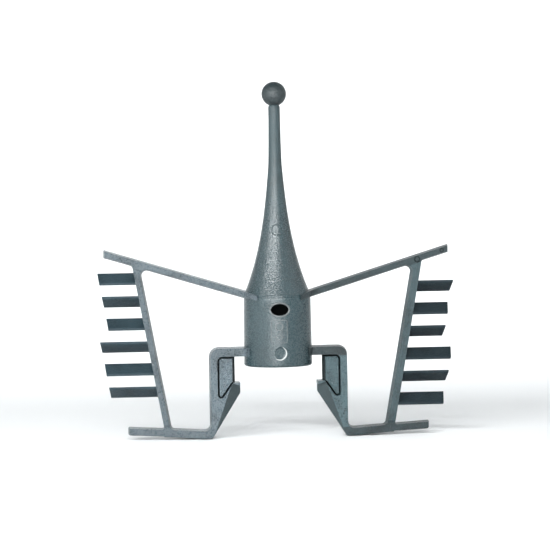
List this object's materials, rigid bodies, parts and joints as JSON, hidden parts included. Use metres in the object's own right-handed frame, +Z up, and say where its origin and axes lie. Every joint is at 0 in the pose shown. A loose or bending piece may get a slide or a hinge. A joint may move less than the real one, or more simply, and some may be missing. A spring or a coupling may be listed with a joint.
{
  "type": "two-wing whisk attachment",
  "caption": "Two-wing whisk attachment for a food processor: a ball-tipped spire on a drive sleeve, tined wings and catch brackets.",
  "frame": {"origin": "on the hub's axis, on the plane the feet stand on", "axes": "+Z up along the spire, X along the wings, -Y towards the front mould half; the mould parts at y = 0"},
  "size_m": [0.131, 0.025, 0.1305],
  "materials": {
    "grey_plastic": "fine spark-eroded texture, bluish mid grey"
  },
  "bodies": {
    "root": {"drive_sleeve": "grey_plastic", "bell": "grey_plastic", "spire_rod": "grey_plastic", "ball_tip": "grey_plastic", "left_top_arm": "grey_plastic", "left_post": "grey_plastic", "left_foot_rail": "grey_plastic", "left_foot_toe": "grey_plastic", "left_hanger_bar": "grey_plastic", "left_hanger_leg": "grey_plastic", "left_hanger_web": "grey_plastic", "left_catch_hook": "grey_plastic", "left_tine_1": "grey_plastic", "left_tine_2": "grey_plastic", "left_tine_3": "grey_plastic", "left_tine_4": "grey_plastic", "left_tine_5": "grey_plastic", "left_tine_6": "grey_plastic", "right_top_arm": "grey_plastic", "right_post": "grey_plastic", "right_foot_rail": "grey_plastic", "right_foot_toe": "grey_plastic", "right_hanger_bar": "grey_plastic", "right_hanger_leg": "grey_plastic", "right_hanger_web": "grey_plastic", "right_catch_hook": "grey_plastic", "right_tine_1": "grey_plastic", "right_tine_2": "grey_plastic", "right_tine_3": "grey_plastic", "right_tine_4": "grey_plastic", "right_tine_5": "grey_plastic", "right_tine_6": "grey_plastic"}
  },
  "joints": []
}
